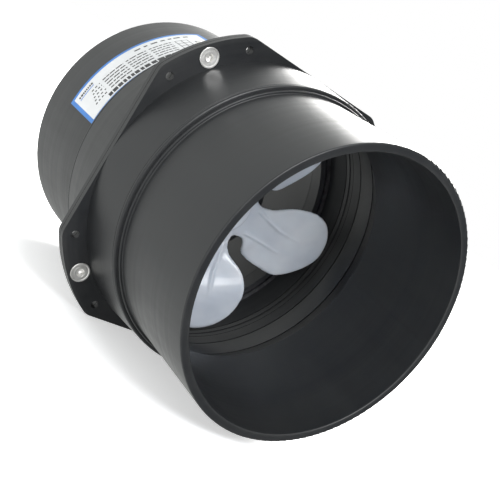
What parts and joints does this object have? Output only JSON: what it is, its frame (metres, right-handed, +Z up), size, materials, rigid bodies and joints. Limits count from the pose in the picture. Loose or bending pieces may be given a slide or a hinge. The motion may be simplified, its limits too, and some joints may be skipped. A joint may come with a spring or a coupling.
{
  "type": "inline duct fan",
  "caption": "Round in-line duct blower: two black moulded casing halves bolted at a square flange, with a motor and a pale broad-bladed impeller inside.",
  "frame": {"origin": "on the fan axis, in the joint plane between the two flanges, which is also the centre of the bounding box", "axes": "+Y along the fan axis towards the inlet spigot, so the outlet mouth faces -Y; +Z up, with one straight side of the square flange facing down"},
  "size_m": [0.1096, 0.136, 0.1096],
  "materials": {
    "casing_plastic": "satin moulded",
    "bracket_plastic": "satin moulded",
    "cap_plastic": "satin moulded",
    "black_rubber": "matt",
    "stainless_steel": "turned and passivated",
    "spring_steel": "blackened",
    "zinc_steel": "zinc plated",
    "shaft_steel": "ground",
    "core_steel": "laminated",
    "bronze": "sintered",
    "terminal_brass": "satin",
    "copper_wire": "enamelled",
    "copper_bar": "turned",
    "ferrite": "ground",
    "carbon": "pressed",
    "lead_insulation": "extruded",
    "label_paper": "printed film",
    "fibre_washer": "pressed fibre",
    "impeller_nylon": "translucent moulded nylon"
  },
  "bodies": {
    "housing": {"front_casing": "casing_plastic", "rear_casing": "casing_plastic", "joint_seal": "black_rubber", "flange_screws": "stainless_steel", "flange_nuts": "stainless_steel", "motor_bracket": "bracket_plastic", "bracket_retaining_ring": "spring_steel", "motor_screws": "zinc_steel", "motor_can": "zinc_steel", "motor_end_cap": "cap_plastic", "front_bush": "bronze", "rear_bush": "bronze", "field_magnets": "ferrite", "magnet_clips": "spring_steel", "brushes": "carbon", "brush_springs": "terminal_brass", "motor_terminals": "terminal_brass", "motor_leads": "lead_insulation", "cable_gland": "black_rubber", "rating_label": "label_paper"},
    "rotor": {"rotor_shaft": "shaft_steel", "armature_core": "core_steel", "armature_windings": "copper_wire", "commutator": "copper_bar", "thrust_washers": "fibre_washer", "impeller": "impeller_nylon", "impeller_insert": "terminal_brass", "impeller_washer": "impeller_nylon", "impeller_nut": "impeller_nylon"}
  },
  "joints": [
    {"name": "impeller_spin", "type": "hinge", "parent": "housing", "child": "rotor", "pos_m": [0, 0, 0], "axis": [0, 1, 0], "continuous": true}
  ]
}
